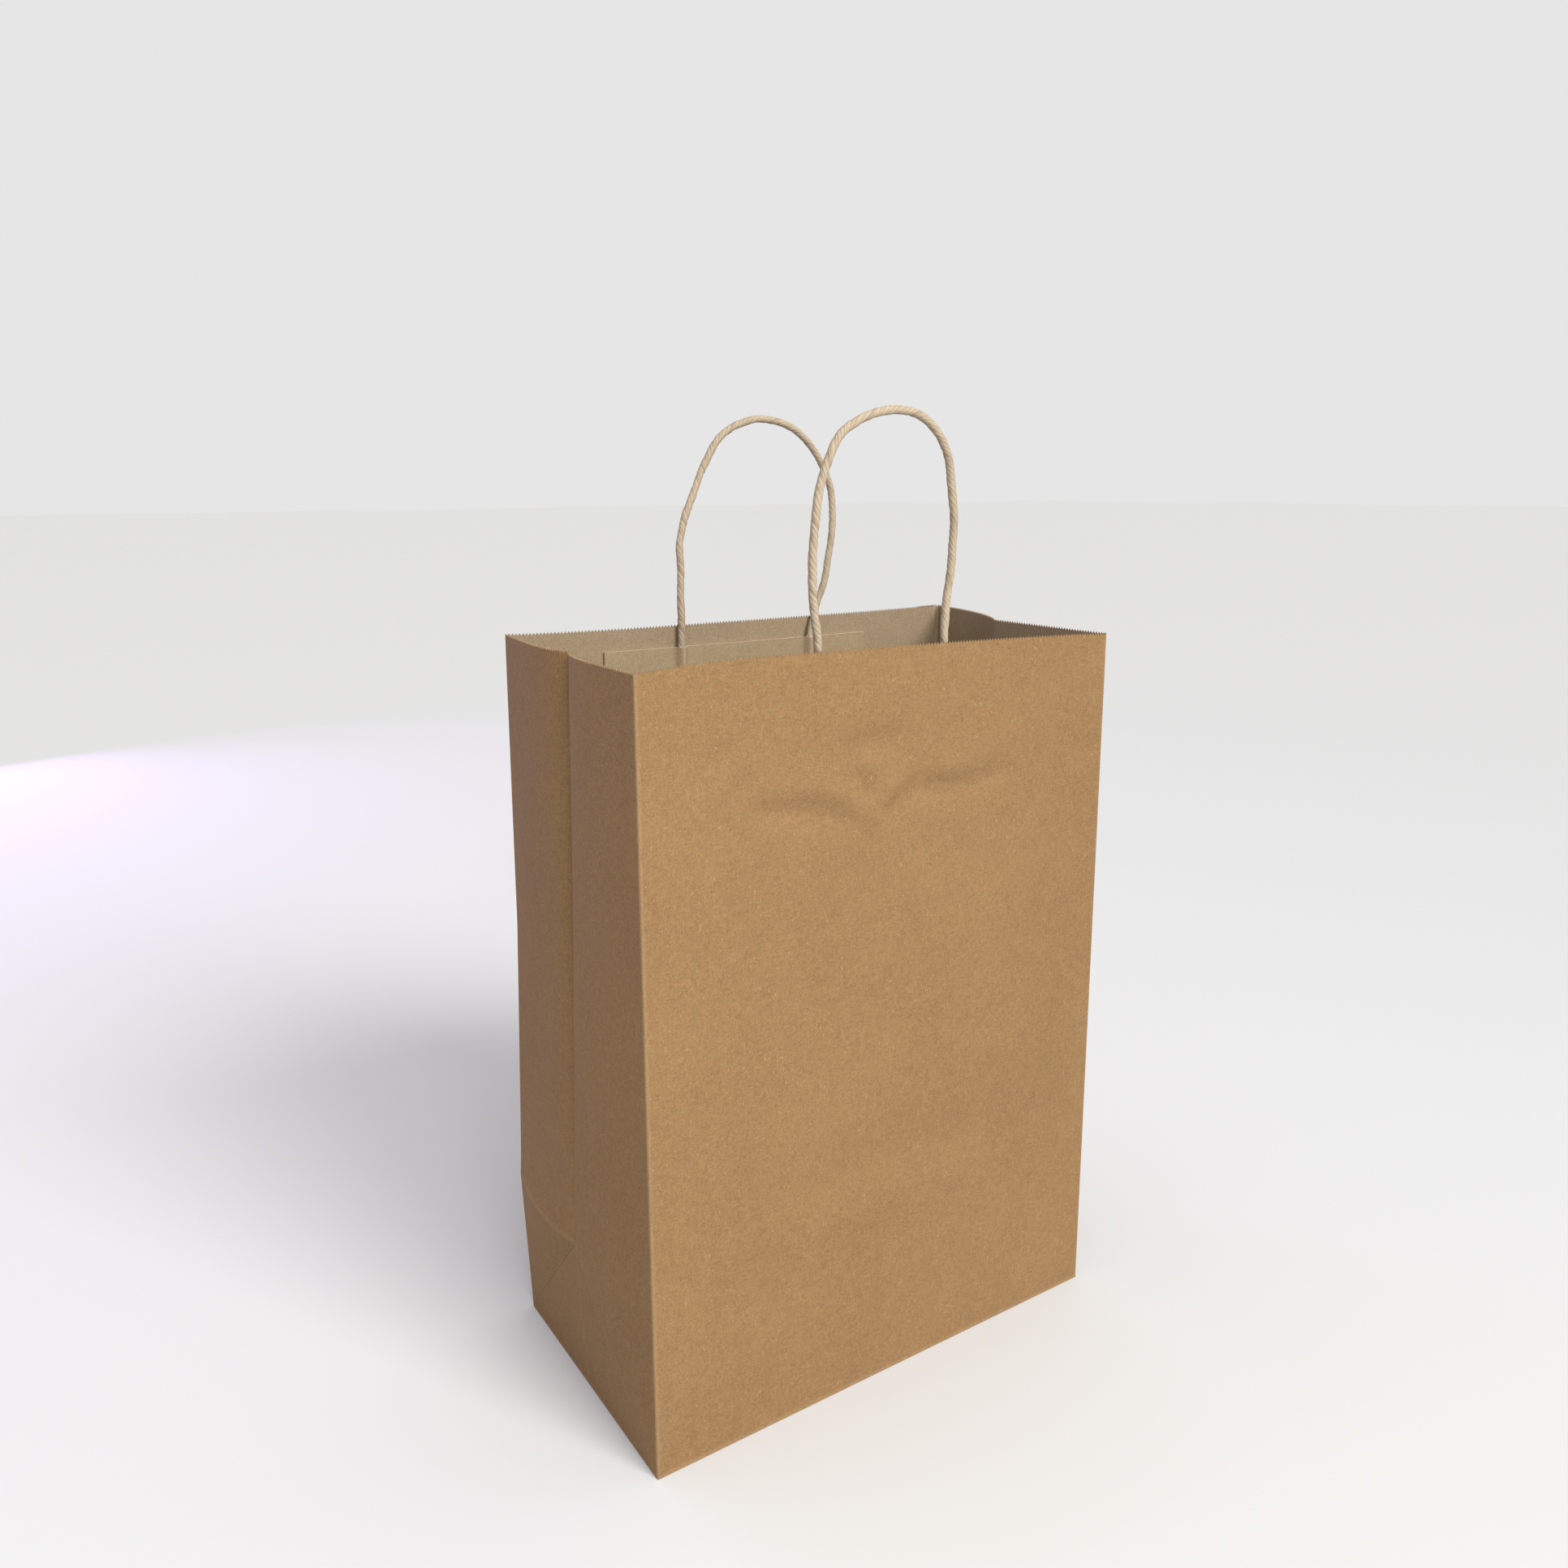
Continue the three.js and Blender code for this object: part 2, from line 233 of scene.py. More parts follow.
def through(points, step):
    """A smooth Catmull-Rom curve through the points, cut into equal steps."""
    points = np.array(points, float)
    ends = np.vstack([2 * points[0] - points[1], points, 2 * points[-1] - points[-2]])
    t = np.linspace(0, 1, 40, endpoint=False)[:, None]
    spans = [ends[i : i + 4] for i in range(len(points) - 1)]
    curve = np.vstack([
        0.5 * (2 * b + (c - a) * t + (2 * a - 5 * b + 4 * c - d) * t**2 + (3 * b - a - 3 * c + d) * t**3)
        for a, b, c, d in spans
    ] + [points[-1:]])
    return even_steps(curve, step)


def even_steps(curve, step):
    """The same line cut into equal steps of about the given length."""
    along = np.concatenate([[0], np.cumsum(np.linalg.norm(np.diff(curve, axis=0), axis=1))])
    places = np.linspace(0, along[-1], max(2, round(along[-1] / step)) + 1)
    return np.stack([np.interp(places, along, curve[:, i]) for i in range(3)], axis=1)


def add_mesh(name, vertices, faces, angle=40):
    """A mesh object at the origin, smooth except where faces meet at more than the angle."""
    mesh = bpy.data.meshes.new(name)
    mesh.from_pydata(vertices.tolist(), [], faces if isinstance(faces, list) else faces.tolist())
    mesh.polygons.foreach_set("use_smooth", np.ones(len(mesh.polygons), bool))
    mesh.set_sharp_from_angle(angle=math.radians(angle))
    made = bpy.data.objects.new(name, mesh)
    bpy.context.scene.collection.objects.link(made)
    return made


class Shade:
    """A socket in a material. Sums, differences and products of shades add Math nodes."""

    def __init__(self, tree, socket=None):
        self.tree, self.socket = tree, socket

    def node(self, kind, settings=None, inputs=None, output=0):
        """Adds a node of this kind, makes its settings, fills its sockets, and gives one of its outputs."""
        made = self.tree.nodes.new(kind)
        for name, value in (settings or {}).items():
            setattr(made, name, value)
        for name, value in (inputs or {}).items():
            if isinstance(value, Shade):
                self.tree.links.new(value.socket, made.inputs[name])
            else:
                made.inputs[name].default_value = value
        return Shade(self.tree, made.outputs[output])

    def math(self, operation, *values):
        return self.node("ShaderNodeMath", {"operation": operation}, dict(enumerate(values)))

    def __add__(self, other):
        return self.math("ADD", self, other)

    def __sub__(self, other):
        return self.math("SUBTRACT", self, other)

    def __rsub__(self, other):
        return self.math("SUBTRACT", other, self)

    def __mul__(self, other):
        return self.math("MULTIPLY", self, other)

    __radd__, __rmul__ = __add__, __mul__

    def between(self, low, high):
        """0 below low, 1 above high, straight between."""
        sockets = {0: self, 1: low, 2: high}
        return self.node("ShaderNodeMapRange", {"clamp": True}, sockets)

    def blend(self, first, second):
        """The first colour where this is 0 and the second where it is 1."""
        return self.node("ShaderNodeMix", {"data_type": "RGBA"}, {0: self, 6: first, 7: second}, 2)


def grain(paint, coordinates, scale, stretch=(1, 1, 1), detail=3.0, roughness=0.55):
    """Cloudy noise with about scale features to the metre, longer where stretch is under 1."""
    placed = paint.node("ShaderNodeMapping", {}, {"Vector": coordinates, "Scale": stretch})
    sockets = {"Vector": placed, "Scale": scale, "Detail": detail, "Roughness": roughness}
    return paint.node("ShaderNodeTexNoise", {}, sockets)


def start_finish(name):
    """A new material, its shader node, and a Shade to build on."""
    material = bpy.data.materials.new(name)
    material.use_nodes = True
    shader = material.node_tree.nodes["Principled BSDF"]
    return material, shader, Shade(material.node_tree)


def cord_finish():
    """Pale twisted paper: fine lines that wind round the cord, painted shade in the grooves, nearly matt."""
    material, shader, paint = start_finish("twisted_paper_cord")
    place = paint.node("ShaderNodeTexCoord", output="Object")
    winding = paint.node("ShaderNodeAttribute", {"attribute_name": "winding"}, output="Fac")
    groove = paint.node("ShaderNodeAttribute", {"attribute_name": "groove"}, output="Fac")
    turns = winding * (2 * math.pi)
    lines = grain(paint, place, 420, detail=4)
    wound = paint.math("SINE", turns * 5 + lines * 5)
    thin = paint.math("SINE", turns * 9 + lines * 4 + 1.0)
    patchy = grain(paint, place, 55, detail=2)
    tone = (0.5 + 0.22 * wound + 0.12 * thin + 0.5 * (lines - 0.5) + 0.7 * (patchy - 0.5)).between(0, 1)
    body = tone.blend((0.29, 0.22, 0.142, 1), (0.475, 0.39, 0.285, 1))
    # Painted shade: where the groove mask is high, the cord's colour is blended halfway to a dark brown.
    dark = groove.between(0.35, 1)
    colour = (dark * 0.5).blend(body, (0.22, 0.155, 0.09, 1))
    paint.tree.links.new(colour.socket, shader.inputs["Base Color"])
    paint.tree.links.new((0.68 + 0.16 * lines).socket, shader.inputs["Roughness"])
    relief = 0.5 * wound + 0.3 * thin + 0.8 * lines
    bump = paint.node("ShaderNodeBump", {}, {"Strength": 0.35, "Distance": 0.00025, "Height": relief})
    paint.tree.links.new(bump.socket, shader.inputs["Normal"])
    shader.inputs["Specular IOR Level"].default_value = 0.3
    return material


cord_paper = cord_finish()
cord_diameter = 0.0035
twist_pitch = 0.013
cord_sides = 24
leg_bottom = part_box("handle_front_leg_left")[0].z
patch_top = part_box("patch_front_inner")[1].z
cord_start = patch_top - 0.0015
route_step, cord_step, leg_step = 0.002, 0.0006, 0.0008
kink_size = 0.0002
loop_seed, leg_seed = 31, 40

# Each handle: the body it hangs on, its plane, where its two legs run, and its loop as x and height over the
# mouth.
handles = {
    "front": (
        "front",
        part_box("handle_front_loop")[0].y + cord_diameter / 2,
        (-0.0348, 0.0318),
        [
            (-0.0350, 0.004), (-0.0364, 0.012), (-0.0378, 0.021), (-0.0387, 0.030), (-0.0389, 0.040),
            (-0.0379, 0.0575), (-0.0347, 0.072), (-0.0282, 0.0832), (-0.0199, 0.0893), (-0.0084, 0.0934),
            (0.0021, 0.0943), (0.0136, 0.0920), (0.0216, 0.0864), (0.0276, 0.077), (0.0306, 0.066),
            (0.0329, 0.052), (0.0339, 0.037), (0.0328, 0.024), (0.0322, 0.014), (0.0318, 0.004),
        ],
    ),
    "back": (
        "back_upper",
        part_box("handle_back_loop")[1].y - cord_diameter / 2,
        (-0.0405, 0.0339),
        [
            (-0.0405, 0.004), (-0.0402, 0.015), (-0.0394, 0.027), (-0.0390, 0.041), (-0.0318, 0.0585),
            (-0.0202, 0.081), (-0.0089, 0.0918), (-0.0006, 0.0952), (0.0084, 0.0966), (0.0199, 0.0954),
            (0.0304, 0.0910), (0.0394, 0.0832), (0.0459, 0.074), (0.0502, 0.0635), (0.0506, 0.0495),
            (0.0484, 0.035), (0.0441, 0.019), (0.0403, 0.0097), (0.0380, 0.004),
        ],
    ),
}


def twisted_cord(name, line, seed):
    """A tube along the line. Its radius rises and falls with the angle round it less the twist so far, which
    gives ridges that wind round it, and one deep groove where the strip's edge lies."""
    draw = np.random.default_rng(seed)
    steps = len(line)
    along = np.concatenate([[0], np.cumsum(np.linalg.norm(np.diff(line, axis=0), axis=1))])
    tangent = np.gradient(line, axis=0)
    tangent /= np.linalg.norm(tangent, axis=1)[:, None]
    side = np.cross(tangent, (0, 1, 0))
    side /= np.linalg.norm(side, axis=1)[:, None]
    other = np.cross(side, tangent)
    turn = 2 * np.pi * np.arange(cord_sides) / cord_sides
    unevenness = sum(
        np.sin(2 * np.pi * along / draw.uniform(0.011, 0.05) + draw.uniform(0, 6)) for _ in range(5)
    ) / 5
    phase = turn[None, :] - (2 * np.pi * along / twist_pitch + 1.2 * unevenness)[:, None]
    groove = np.maximum(np.cos(phase / 2), 0) ** 14 + 0.6 * np.maximum(np.cos((phase + 2.6) / 2) ** 2, 0) ** 9
    ridges = 0.03 * np.cos(2 * phase + 0.6) + 0.025 * np.cos(3 * phase + 2) + 0.02 * np.cos(5 * phase)
    radius = cord_diameter / 2 * (1.02 + 0.05 * unevenness[:, None] + ridges - 0.11 * groove)
    ring = side[:, None] * np.cos(turn)[None, :, None] + other[:, None] * np.sin(turn)[None, :, None]
    points = line[:, None] + radius[..., None] * ring
    index = np.arange(steps * cord_sides).reshape(steps, cord_sides)
    after = np.roll(index, -1, axis=1)
    quads = np.stack([index[:-1], index[1:], after[1:], after[:-1]], axis=-1).reshape(-1, 4)
    caps = [index[0].tolist(), index[-1][::-1].tolist()]
    made = add_mesh(name, points.reshape(-1, 3), quads.tolist() + caps, angle=70)
    # The groove attribute also carries the mask for the shade painted into the cord's grooves.
    for attribute, values in (("winding", phase / (2 * np.pi)), ("groove", np.clip(groove, 0, 1))):
        made.data.attributes.new(attribute, "FLOAT", "POINT").data.foreach_set(
            "value", values.astype(np.float32).ravel()
        )
    made.data.materials.append(cord_paper)
    return made


def wander(line, seed, size):
    """Small kinks: the line is moved sideways by a few short waves that fade out at both ends."""
    draw = np.random.default_rng(seed)
    t = np.linspace(0, 1, len(line))
    offset = sum(
        np.sin(2 * np.pi * t * draw.uniform(3, 14) + draw.uniform(0, 6))[:, None] * draw.normal(size=3)
        for _ in range(5)
    )
    return line + size * offset / 3 * np.minimum(1, 8 * t * (1 - t))[:, None]


for name, (body, plane, legs, loop) in handles.items():
    over_mouth = [(x, plane, height + above) for x, above in loop]
    route = [(legs[0], plane, cord_start), *over_mouth, (legs[1], plane, cord_start)]
    line = wander(even_steps(settle(through(route, route_step)), cord_step), len(name), kink_size)
    handle = twisted_cord(f"handle_{name}", line, loop_seed + len(name))
    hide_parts(f"handle_{name}_loop")
    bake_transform(handle)
    path = line[::4].tolist() + [line[-1].tolist()]
    for side, x in zip(("left", "right"), legs):
        leg_top = patch_top - 0.0003
        leg = [(x, plane, leg_bottom), (x, plane, (leg_bottom + leg_top) / 2), (x, plane, leg_top)]
        leg_line = even_steps(settle(through(leg, route_step)), leg_step)
        piece = twisted_cord(f"cord_end_{name}_{side}", leg_line, leg_seed)
        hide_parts(f"handle_{name}_leg_{side}")
        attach(piece, body)
        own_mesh(piece)


# Paper tube: one sheet of brown kraft paper, creased round the front, two gussets and the back. Each field
# between creases turns on its own body, so the one curved surface is cut exactly along the creases.
corner_radius = 0.001
paper_front = (front_low.y + front_high.y) / 2
paper_back = (back_low.y + back_high.y) / 2
paper_side = half_width - sheet / 2
tooth_pitch, tooth_depth = 0.0016, 0.0011
back_edge_stop = 0.002
lap_width = half_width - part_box("seam_lap_upper")[0].x


def plan_outline():
    """The outline seen from above: a rectangle with a small arc at each corner, from the middle of the front
    left arc round by the front. Gives the distance so far, x and y along it."""
    centres = [
        (-paper_side, paper_front, 1, 1, 1.0), (paper_side, paper_front, -1, 1, 1.5),
        (paper_side, paper_back, -1, -1, 0.0), (-paper_side, paper_back, 1, -1, 0.5),
    ]
    arcs = []
    for x, y, in_x, in_y, begin in centres:
        turn = np.pi * (begin + np.linspace(0, 0.5, 17))
        arcs.append(np.stack([
            x + in_x * corner_radius + corner_radius * np.cos(turn),
            y + in_y * corner_radius + corner_radius * np.sin(turn),
        ], axis=1))
    loop = np.vstack([arcs[0][8:], arcs[1], arcs[2], arcs[3], arcs[0][:9]])
    along = np.concatenate([[0], np.cumsum(np.linalg.norm(np.diff(loop, axis=0), axis=1))])
    return along, loop[:, 0], loop[:, 1]


outline_s, outline_x, outline_y = plan_outline()
half_arc = corner_radius * np.pi / 4
front_run = 2 * (paper_side - corner_radius) + 2 * half_arc
side_run = paper_back - paper_front - 2 * corner_radius + 2 * half_arc
corner_fr = front_run
corner_br = corner_fr + side_run
corner_bl = corner_br + front_run
corner_fl = corner_bl + side_run
centre_right = corner_fr + half_arc - corner_radius - paper_front
centre_left = corner_fl - half_arc + corner_radius + paper_front


def skin(s, z):
    """The bag's surface at distance s round the paper and height z: the outline, moved as the bag settled."""
    x = np.interp(s, outline_s, outline_x)
    y = np.interp(s, outline_s, outline_y)
    return settle(np.stack([x, y, z], axis=-1))


def skin_normal(s, z, step=0.0003):
    """The outward direction of the surface, from points a little to each side."""
    round_it = skin(np.clip(s + step, 0, corner_fl), z) - skin(np.clip(s - step, 0, corner_fl), z)
    up_it = skin(s, z + step) - skin(s, z - step)
    normal = np.cross(round_it, up_it)
    return normal / np.linalg.norm(normal, axis=-1, keepdims=True)


def columns(start, stop, pitch=tooth_pitch / 2):
    """Places round the paper from start to stop: every half tooth, and closer together at both ends."""
    ends = np.linspace(0, half_arc, 5)
    even = np.arange(math.ceil(start / pitch), math.floor(stop / pitch) + 1) * pitch
    inside = even[(even > start + half_arc * 1.2) & (even < stop - half_arc * 1.2)]
    return np.concatenate([start + ends, inside, (stop - ends)[::-1]])


def teeth(s):
    """Depth of the saw cut at the mouth: a zigzag."""
    return tooth_depth * np.abs(2 * np.mod(s / tooth_pitch, 1) - 1)


def closed_sheet(name, middle, normal, outside, inside, cut, thickness=0.0003):
    """A thin closed sheet: the grid moved half the thickness out and in, joined by a strip round the rim. The
    two sides and the rim, which is the cut edge of the paper, have a material each."""
    rows, across = middle.shape[:2]
    half = normal * thickness / 2
    points = np.concatenate([middle + half, middle - half]).reshape(-1, 3)
    index = np.arange(rows * across).reshape(rows, across)
    outer = np.stack([index[:-1, :-1], index[:-1, 1:], index[1:, 1:], index[1:, :-1]], axis=-1)
    outer = outer.reshape(-1, 4)
    inner = outer[:, ::-1] + rows * across
    rim = np.concatenate([index[0, :-1], index[:-1, -1], index[-1, :0:-1], index[:0:-1, 0]])
    after = np.roll(rim, -1)
    edge = np.stack([rim, rim + rows * across, after + rows * across, after], axis=-1)
    made = add_mesh(name, points, np.concatenate([outer, inner, edge]))
    for material in (outside, inside, cut):
        made.data.materials.append(material)
    side = np.repeat(np.arange(3, dtype=np.int32), (len(outer), len(inner), len(edge)))
    made.data.polygons.foreach_set("material_index", side)
    return made


def crease_wear(s, z):
    """How rubbed the paper is: 1 on the glued seam, less on the corners, the floor edge and the creases, and
    falling off within a millimetre or so."""
    y = np.interp(s, outline_s, outline_y)
    wear = np.zeros(np.broadcast(s, z).shape)
    for corner in (0, corner_fr, corner_br, corner_bl, corner_fl):
        wear = np.maximum(wear, 0.6 * np.exp(-(((s - corner) / 0.0008) ** 2)))
    on_side = ((s > corner_fr) & (s < corner_br)) | (s > corner_bl)
    low = np.abs(z - crease_height * (1 - np.abs(y) / half_depth)) / math.sqrt(2)
    wear = np.maximum(wear, 0.15 * np.where(on_side, np.exp(-((low / 0.0005) ** 2)), 0))
    wear = np.maximum(wear, 0.25 * np.where(on_side & (z < crease_height), np.exp(-((y / 0.0006) ** 2)), 0))
    level = np.exp(-(((z - crease_height) / 0.0006) ** 2))
    on_level = (s > corner_br - side_run / 2) & (s < corner_bl + side_run / 2)
    wear = np.maximum(wear, 0.3 * np.where(on_level, level, 0))
    seam = np.exp(-(((s - corner_br - back_edge_stop - 0.0007) / 0.0007) ** 2))
    wear = np.maximum(wear, seam)
    return np.maximum(wear, 0.6 * np.exp(-((z / 0.0010) ** 2)))


def kraft_finish(name, dark, light):
    """Kraft paper between a dark and a light tone: fine mixed fibres, soft clouds of tone, a few small dark
    specks, and paler rubbed creases. Matt, with a fine felt-like relief."""
    material, shader, paint = start_finish(name)
    place = paint.node("ShaderNodeTexCoord", output="Object")
    wear = paint.node("ShaderNodeAttribute", {"attribute_name": "wear"}, output="Fac")
    fine = grain(paint, place, 1700, detail=3, roughness=0.7)
    upright = grain(paint, place, 1300, stretch=(1, 1, 0.25), detail=2)
    level = grain(paint, place, 1300, stretch=(0.25, 0.25, 1), detail=2)
    clouds = grain(paint, place, 140, detail=4, roughness=0.6)
    broad = grain(paint, place, 14, detail=2)
    speck = grain(paint, place, 1250, detail=0).between(0.81, 0.84)
    pale_speck = grain(paint, place, 1400, stretch=(1, 1, 0.5), detail=0).between(0.78, 0.83)
    tone = 0.5 + 1.3 * (fine - 0.5) + 0.4 * (upright - 0.5) + 0.4 * (level - 0.5)
    tone = (tone + 0.2 * (clouds - 0.5) + 0.22 * (broad - 0.5)).between(0.1, 0.9)
    body = tone.blend(dark, light)
    specked = (speck * 0.5).blend(body, (0.09, 0.05, 0.025, 1))
    fibred = (pale_speck * 0.25).blend(specked, (0.60, 0.43, 0.25, 1))
    colour = (wear * (0.1 + 0.5 * fine)).blend(fibred, (0.50, 0.36, 0.22, 1))
    paint.tree.links.new(colour.socket, shader.inputs["Base Color"])
    paint.tree.links.new((0.72 + 0.2 * (fine * 0.6 + clouds * 0.4)).socket, shader.inputs["Roughness"])
    relief = fine + upright + level + 2 * clouds
    bump = paint.node("ShaderNodeBump", {}, {"Strength": 0.3, "Distance": 0.0001, "Height": relief})
    paint.tree.links.new(bump.socket, shader.inputs["Normal"])
    shader.inputs["Specular IOR Level"].default_value = 0.25
    return material


def cut_finish(name, dark, light):
    """The cut edge of kraft paper: torn fibres between two tones."""
    material, shader, paint = start_finish(name)
    place = paint.node("ShaderNodeTexCoord", output="Object")
    fibres = grain(paint, place, 1500, detail=3)
    colour = fibres.between(0.3, 0.7).blend(dark, light)
    paint.tree.links.new(colour.socket, shader.inputs["Base Color"])
    bump = paint.node("ShaderNodeBump", {}, {"Strength": 0.4, "Distance": 0.0001, "Height": fibres})
    paint.tree.links.new(bump.socket, shader.inputs["Normal"])
    shader.inputs["Roughness"].default_value = 0.9
    return material


kraft_outside = kraft_finish("kraft_outside", (0.158, 0.084, 0.032, 1), (0.326, 0.196, 0.087, 1))
kraft_inside = kraft_finish("kraft_inside", (0.20, 0.142, 0.084, 1), (0.36, 0.275, 0.178, 1))
patch_strip = kraft_finish("patch_strip", (0.23, 0.166, 0.093, 1), (0.37, 0.285, 0.175, 1))
cut_edge = cut_finish("cut_edge", (0.17, 0.10, 0.05, 1), (0.36, 0.25, 0.145, 1))
patch_edge = cut_finish("patch_cut_edge", (0.50, 0.39, 0.25, 1), (0.80, 0.68, 0.50, 1))


def paper_piece(name, s, z, offset=0.0, finishes=(kraft_outside, kraft_inside, cut_edge), thickness=0.0003):
    """A closed sheet on the bag's surface over a grid of s and z, moved outwards by the offset."""
    normal = skin_normal(s, z)
    middle = skin(s, z) + normal * np.asarray(offset)[..., None]
    made = closed_sheet(name, middle, normal, *finishes, thickness)
    wear = crease_wear(s, z).astype(np.float32).ravel()
    made.data.attributes.new("wear", "FLOAT", "POINT").data.foreach_set("value", np.tile(wear, 2))
    "patch_paper" if patch_strip in finishes else "kraft_paper"
    return made


def field(name, s, low, high, rows, toothed=False, offset=0.0):
    """A field of the paper: at each place s it runs from height low to height high, which may vary with s."""
    low, high = np.broadcast_to(low, s.shape), np.broadcast_to(high, s.shape)
    top = high - tooth_pitch if toothed else high
    z = low + (top - low) * np.linspace(0, 1, rows)[:, None]
    if toothed:
        z = np.vstack([z, high - teeth(s)])
    grid_s = np.broadcast_to(s, z.shape)
    return paper_piece(name, grid_s, z, offset)


def flatten(piece, body, anchor):
    """The piece rides on its body."""
    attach(piece, body)
    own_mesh(piece)


floor_clearance = 0.0002
least_rise = 0.0003
upper_rows, lower_rows = 90, 26

# Front field: the full width and height, from the floor crease to the saw-cut mouth.
front_panel = field("front_field", columns(0, corner_fr), floor_clearance, height, 130, toothed=True)
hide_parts("front_panel")
flatten(front_panel, "front", (0, paper_front, 0))

# Back: two fields joined at the level crease. At the right its own cut edge stops short of the corner, and
# the glue lap from the right gusset covers it outside.
back_columns = columns(corner_br, corner_bl)
back_columns = back_columns[back_columns >= corner_br + back_edge_stop]
upper = field("back_field_upper", back_columns, crease_height, height, upper_rows, toothed=True)
lower = field("back_field_lower", back_columns, floor_clearance, crease_height, lower_rows)
lap_columns = columns(corner_br, corner_br + lap_width)
lap_rise = (sheet + gap) * smooth((lap_columns - corner_br) / back_edge_stop)
upper_lap = field("glue_lap_upper", lap_columns, crease_height, height, upper_rows, True, lap_rise)
lower_lap = field("glue_lap_lower", lap_columns, floor_clearance, crease_height, lower_rows, False, lap_rise)
for piece, node, body in (
    (upper, "back_panel_upper", "back_upper"), (lower, "back_panel_lower", "back_lower"),
    (upper_lap, "seam_lap_upper", "back_upper"), (lower_lap, "seam_lap_lower", "back_lower"),
):
    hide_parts(node)
    flatten(piece, body, (0, paper_back, 0))

# Gussets: each has a front half, a back half over the level crease, and two triangles under it.
for side, name, front_corner, centre, back_corner in (
    (-1, "left", corner_fl, centre_left, corner_bl), (1, "right", corner_fr, centre_right, corner_br),
):
    def slant(s):
        """Height of the slanting creases at place s."""
        return crease_height * (1 - np.abs(np.interp(s, outline_s, outline_y)) / half_depth)

    front_half = columns(*sorted((front_corner, centre)))
    back_half = columns(*sorted((centre, back_corner)))
    both = columns(*sorted((front_corner, back_corner)))
    front_start = slant(front_half) + floor_clearance
    corner_start = np.minimum(slant(back_half) + floor_clearance, crease_height - least_rise)
    foot_stop = np.maximum(slant(both), 3 * floor_clearance)
    for part, body, s, low, high, rows, toothed in (
        ("front_half", "front", front_half, front_start, height, 110, True),
        ("back_half", "back", back_half, crease_height, height, upper_rows, True),
        ("corner_triangle", "corner", back_half, corner_start, crease_height, lower_rows, False),
        ("foot_triangle", "foot", both, floor_clearance, foot_stop, lower_rows, False),
    ):
        piece = field(f"gusset_{name}_{part}", s, low, high, rows, toothed)
        node = f"gusset_{name}_{body}"
        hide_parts(node)
        flatten(piece, node, (side * paper_side, 0, 0))


# Handle patches: two strips of kraft paper glued together over the cord ends, and glued inside the front and
# the back. The inner strip rises over each cord end, where it is rubbed pale.
outer_offset = -(sheet / 2 + gap + sheet / 2)
inner_offset = outer_offset - sheet - gap
inner_thickness = 0.0006
beside_leg = 0.006


def x_to_s(x, side):
    """Distance round the paper of a place x on the front or the back."""
    from_left = half_arc + x + paper_side - corner_radius
    return from_left if side == "front" else corner_bl - from_left


def channel(x, legs):
    """How far the strip stands off over the cord ends: a round top with flanks that run out smoothly."""
    total = np.zeros(x.shape)
    for leg in legs:
        apart = np.abs(x - leg) / (cord_diameter * 0.62)
        total = np.maximum(total, (cord_diameter + gap) * np.exp(-(apart**2.6) * 0.75))
    return total


for name, (body, _, legs, _) in handles.items():
    low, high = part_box(f"patch_{name}_inner")
    coarse = np.linspace(low.x, high.x, 261)
    fine = np.concatenate([np.linspace(leg - beside_leg, leg + beside_leg, 33) for leg in legs])
    from_leg = np.abs(coarse[:, None] - np.array(legs)).min(axis=1)
    x = np.unique(np.concatenate([coarse[from_leg > beside_leg + 0.0002], fine]))
    if name == "back":
        x = x[::-1]
    z = np.linspace(low.z, high.z, 24)[:, None] + 0 * x
    grid_s = np.broadcast_to(x_to_s(x, name), z.shape)
    finishes = (patch_strip, patch_strip, patch_edge)
    outer_strip = paper_piece(f"patch_{name}_against_panel", grid_s, z, outer_offset + 0 * z, finishes)
    lift = channel(x, legs)
    inner_depth = inner_offset - lift + 0 * z
    inner_strip = paper_piece(
        f"patch_{name}_over_cords", grid_s, z, inner_depth, finishes, inner_thickness
    )
    rubbed = np.tile((0.6 * smooth(lift / cord_diameter) + 0 * z).astype(np.float32).ravel(), 2)
    inner_strip.data.attributes["wear"].data.foreach_set("value", rubbed)
    for piece, node in ((outer_strip, f"patch_{name}_outer"), (inner_strip, f"patch_{name}_inner")):
        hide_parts(node)
        flatten(piece, body, (0, paper_front if name == "front" else paper_back, 0))


# Bottom: two long flaps with mitred ends, glued where they lap, under the squares made by the turned-in
# gussets.
def floor_piece(name, near, far, near_half, far_half, level):
    """A flat sheet between y = near and y = far that narrows from near_half to far_half; level gives its
    height at each y."""
    y = np.linspace(near, far, 60)[:, None]
    half = near_half + (far_half - near_half) * (y - near) / (far - near)
    x = half * np.linspace(-1, 1, 90)
    y = y + 0 * x
    unevenness = 0.00008 * (1 + np.sin(90 * x + 1.3) * np.cos(70 * y))
    return sheet_between(name, x, y, level(y) + unevenness)


def sheet_between(name, x, y, z):
    """A closed sheet over a grid that lies nearly flat, facing up."""
    middle = settle(np.stack([x, y, z], axis=-1))
    normal = np.cross(np.gradient(middle, axis=1), np.gradient(middle, axis=0))
    normal /= np.linalg.norm(normal, axis=-1, keepdims=True)
    normal *= np.sign(normal[..., 2:3])
    if np.cross(middle[0, 1] - middle[0, 0], middle[1, 0] - middle[0, 0])[2] < 0:
        middle, normal = middle[::-1], normal[::-1]
    made = closed_sheet(name, middle, normal, kraft_inside, kraft_outside, cut_edge)
    made.data.attributes.new("wear", "FLOAT", "POINT")
    return made


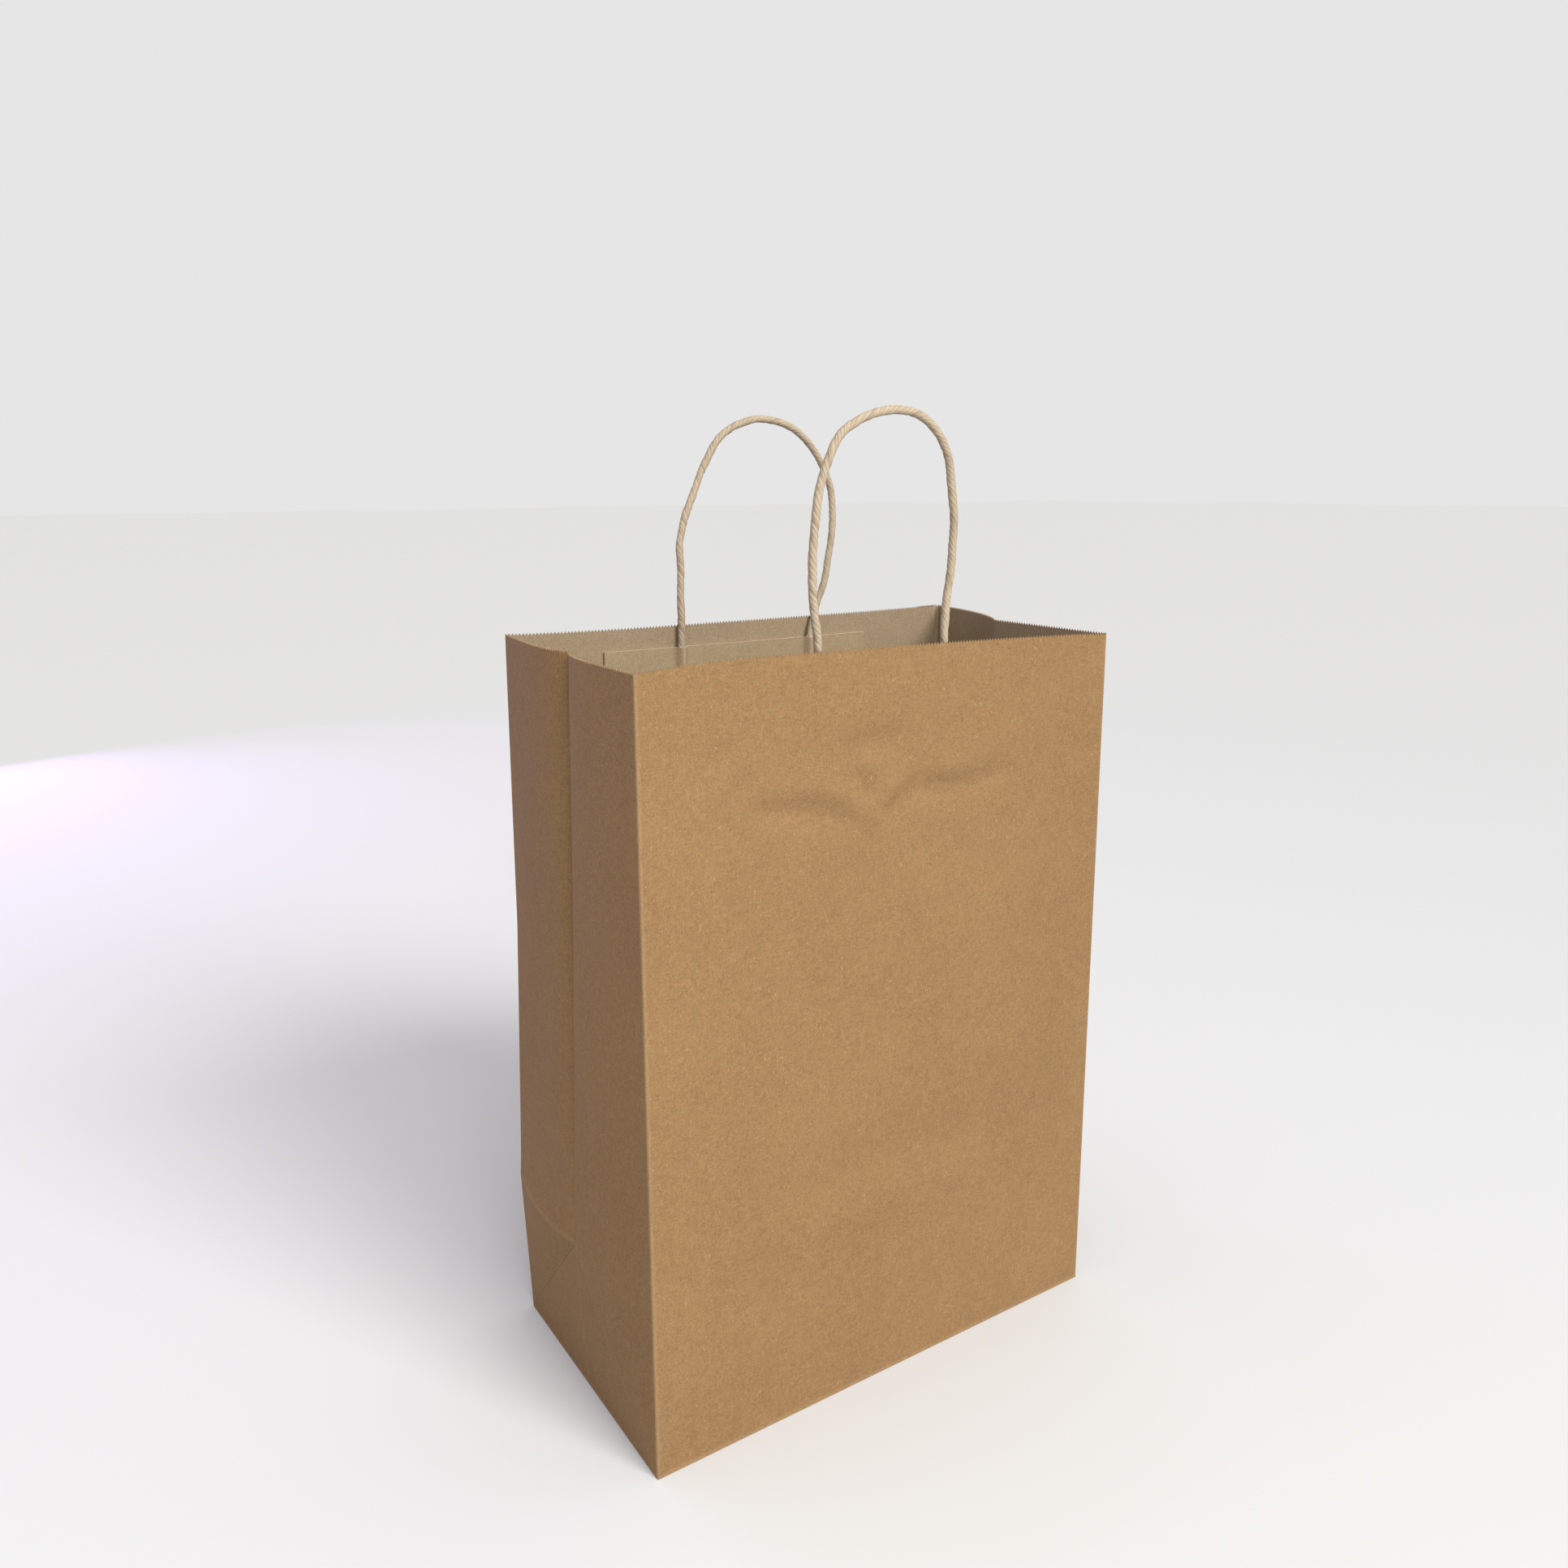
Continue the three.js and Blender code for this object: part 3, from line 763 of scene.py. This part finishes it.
lap_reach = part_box("bottom_flap_front")[1].y
short_half = half_width - half_depth - lap_reach
front_flap = floor_piece(
    "bottom_front_flap", paper_front, lap_reach, paper_side, short_half, lambda y: sheet / 2 + 0 * y
)
rear_flap = floor_piece(
    "bottom_rear_flap", paper_back, -lap_reach, paper_side, short_half,
    lambda y: sheet / 2 + (sheet + gap) * smooth((lap_reach + 0.003 - y) / 0.003),
)
fold_low, fold_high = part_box("bottom_end_fold_left")
fold_level = (fold_low.z + fold_high.z) / 2
for piece, node in ((front_flap, "bottom_flap_front"), (rear_flap, "bottom_flap_back")):
    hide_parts(node)
    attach(piece, "base")
for name in ("left", "right"):
    low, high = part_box(f"bottom_end_fold_{name}")
    grid_x, grid_y = np.meshgrid(np.linspace(low.x, high.x, 50), np.linspace(low.y, high.y, 70))
    uneven = 0.00012 * (1 + np.sin(60 * grid_x + 2) * np.cos(50 * grid_y + 1))
    square = sheet_between(f"bottom_turned_in_{name}", grid_x, grid_y, fold_level + uneven)
    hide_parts(f"bottom_end_fold_{name}")
    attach(square, "base")


# Stage: a plain pale floor, a soft sun in front, a lamp over the front left, a weak cool light behind on the
# left, and a white room that is brighter overhead.
floor_mesh = bpy.data.meshes.new("floor")
floor_mesh.from_pydata([(-20, -20, 0), (20, -20, 0), (20, 20, 0), (-20, 20, 0)], [], [(0, 1, 2, 3)])
floor = bpy.data.objects.new("floor", floor_mesh)
bpy.context.scene.collection.objects.link(floor)
floor_paint, floor_shader, _ = start_finish("pale_floor")
floor_shader.inputs["Base Color"].default_value = (0.63, 0.63, 0.63, 1)
floor_shader.inputs["Roughness"].default_value = 0.9
floor_mesh.materials.append(floor_paint)


def light_at(data, place, target=(0, 0, 0.2)):
    """Puts a lamp at the place, facing the target."""
    made = bpy.data.objects.new(data.name, data)
    made.location = place
    made.rotation_mode = "QUATERNION"
    made.rotation_quaternion = (Vector(target) - Vector(place)).to_track_quat("-Z", "Y")
    bpy.context.scene.collection.objects.link(made)


key = bpy.data.lights.new("key", "SUN")
key.energy = 2.9
key.angle = math.radians(26)
key.color = (1.0, 0.985, 0.96)
light_at(key, (0.24, -1.0, 0.84))
lamp = bpy.data.lights.new("lamp", "AREA")
lamp.size = 0.35
lamp.energy = 4.5
light_at(lamp, (-0.30, -0.80, 0.95))
cool = bpy.data.lights.new("cool", "AREA")
cool.size = 0.8
cool.energy = 5
cool.color = (0.6, 0.35, 1.0)
light_at(cool, (-0.5, 1.6, 0.45))
world = bpy.data.worlds.new("room")
bpy.context.scene.world = world
world.use_nodes = True
room = Shade(world.node_tree)
seen = room.node("ShaderNodeLightPath", output="Is Camera Ray")
outward = room.node("ShaderNodeTexCoord", output="Generated")
upward = room.node("ShaderNodeSeparateXYZ", {}, {"Vector": outward}, "Z").between(0, 0.7)
background = world.node_tree.nodes["Background"]
background.inputs["Color"].default_value = (1, 1, 1, 1)
lighting = 0.15 + 0.70 * upward
strength = lighting * (1 - seen) + 0.79 * seen
world.node_tree.links.new(strength.socket, background.inputs["Strength"])
